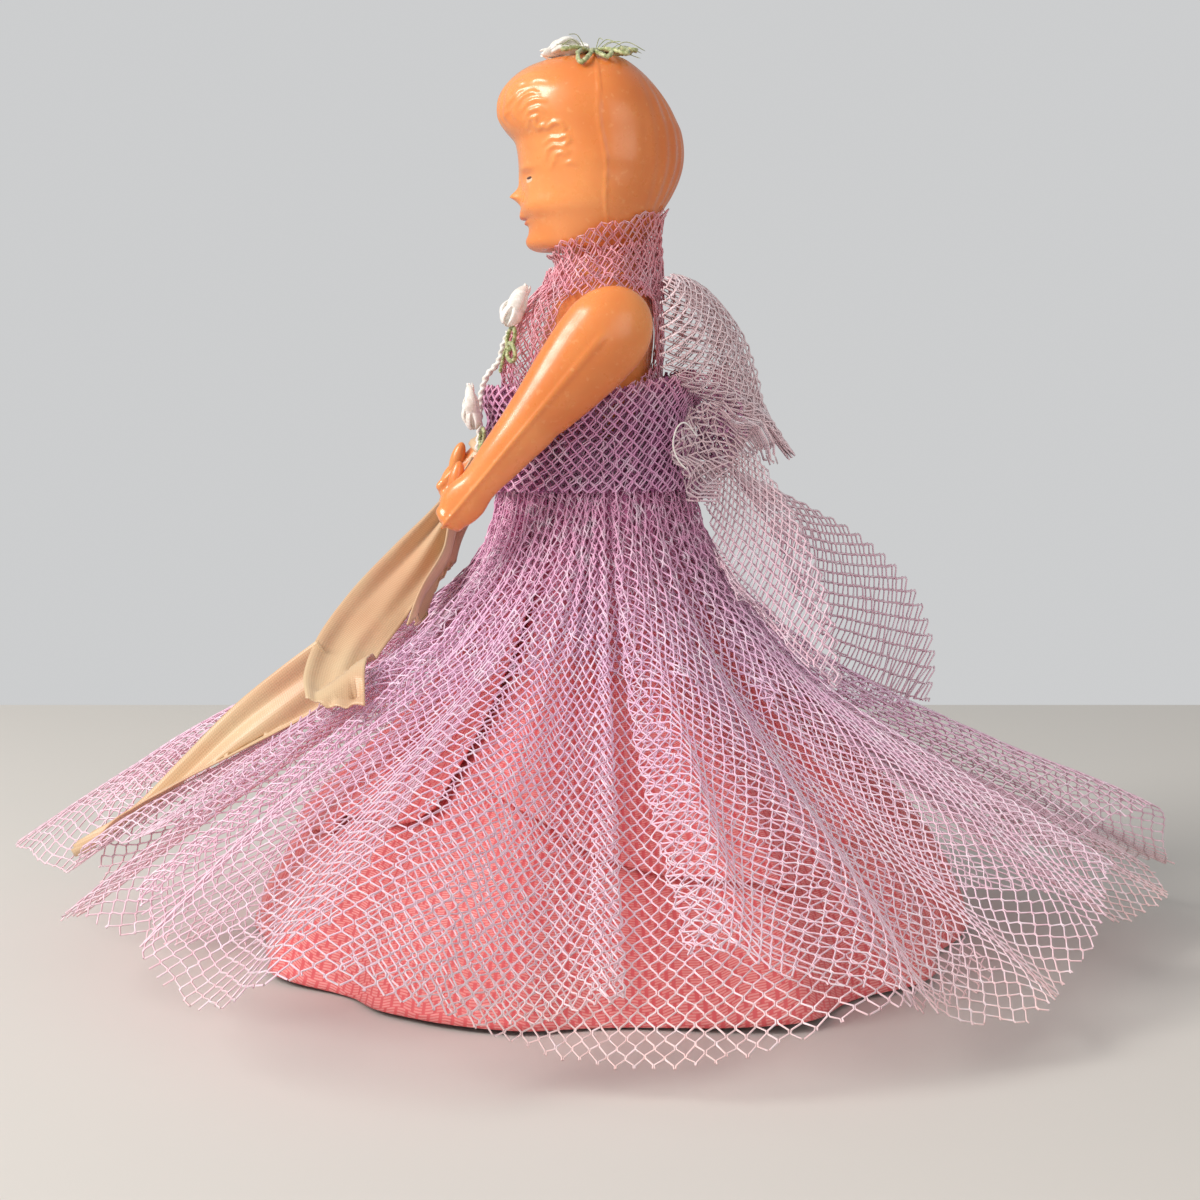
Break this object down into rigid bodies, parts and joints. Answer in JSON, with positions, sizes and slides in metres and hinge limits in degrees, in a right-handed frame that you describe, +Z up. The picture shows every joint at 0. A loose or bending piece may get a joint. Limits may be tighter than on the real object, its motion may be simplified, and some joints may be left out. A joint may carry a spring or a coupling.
{
  "type": "fairy doll tree topper",
  "caption": "Standing fairy doll tree topper: hollow moulded doll with swinging strung arms, satin and net skirts, net bodice, sash and bow, and a ribbon in the hands.",
  "frame": {"origin": "on the floor under the middle of the skirt, at the doll's upright axis", "axes": "+Z up, the doll faces -Y, and her left side is +X"},
  "size_m": [0.1717, 0.2, 0.1518],
  "materials": {
    "doll_plastic": "glossy aged peach plastic",
    "net": "stiff open net",
    "satin": "soft sheen with a short dash weave",
    "ribbon": "thin satin ribbon",
    "white_trim": "pearly thread",
    "green_trim": "thread",
    "elastic": "covered elastic"
  },
  "bodies": {
    "doll": {"body_front_shell": "doll_plastic", "body_back_shell": "doll_plastic", "arm_elastic": "elastic", "satin_underskirt": "satin", "satin_overskirt_1": "satin", "satin_overskirt_2": "satin", "satin_overskirt_3": "satin", "inner_net_1": "net", "inner_net_2": "net", "inner_net_3": "net", "inner_net_4": "net", "inner_net_5": "net", "outer_net_1": "net", "outer_net_2": "net", "outer_net_3": "net", "outer_net_4": "net", "outer_net_5": "net", "net_bodice": "net", "net_collar": "net", "net_sash": "net", "bow_knot": "net", "bow_end_left": "net", "bow_end_right": "net", "back_veil": "net", "bow_tail_left": "net", "bow_tail_right": "net", "ribbon_front": "ribbon", "ribbon_back": "ribbon", "ribbon_tail": "ribbon", "trim_stem": "white_trim", "rosebud_upper": "white_trim", "rosebud_lower": "white_trim", "leaf_loops_upper": "green_trim", "leaf_loops_lower": "green_trim", "hair_bud_left": "white_trim", "hair_bud_right": "white_trim", "hair_leaves": "green_trim"},
    "left_arm": {"left_arm_front_half": "doll_plastic", "left_arm_back_half": "doll_plastic"},
    "right_arm": {"right_arm_front_half": "doll_plastic", "right_arm_back_half": "doll_plastic", "ribbon_knot": "ribbon"}
  },
  "joints": [
    {"name": "left_shoulder", "type": "hinge", "parent": "doll", "child": "left_arm", "pos_m": [0.0145, 0.0015, 0.1014], "axis": [-1, 0, 0], "range_deg": [-8, 110]},
    {"name": "right_shoulder", "type": "hinge", "parent": "doll", "child": "right_arm", "pos_m": [-0.0145, 0.0015, 0.1014], "axis": [-1, 0, 0], "range_deg": [-14, 105], "deforming": ["ribbon_front", "ribbon_back"]}
  ]
}
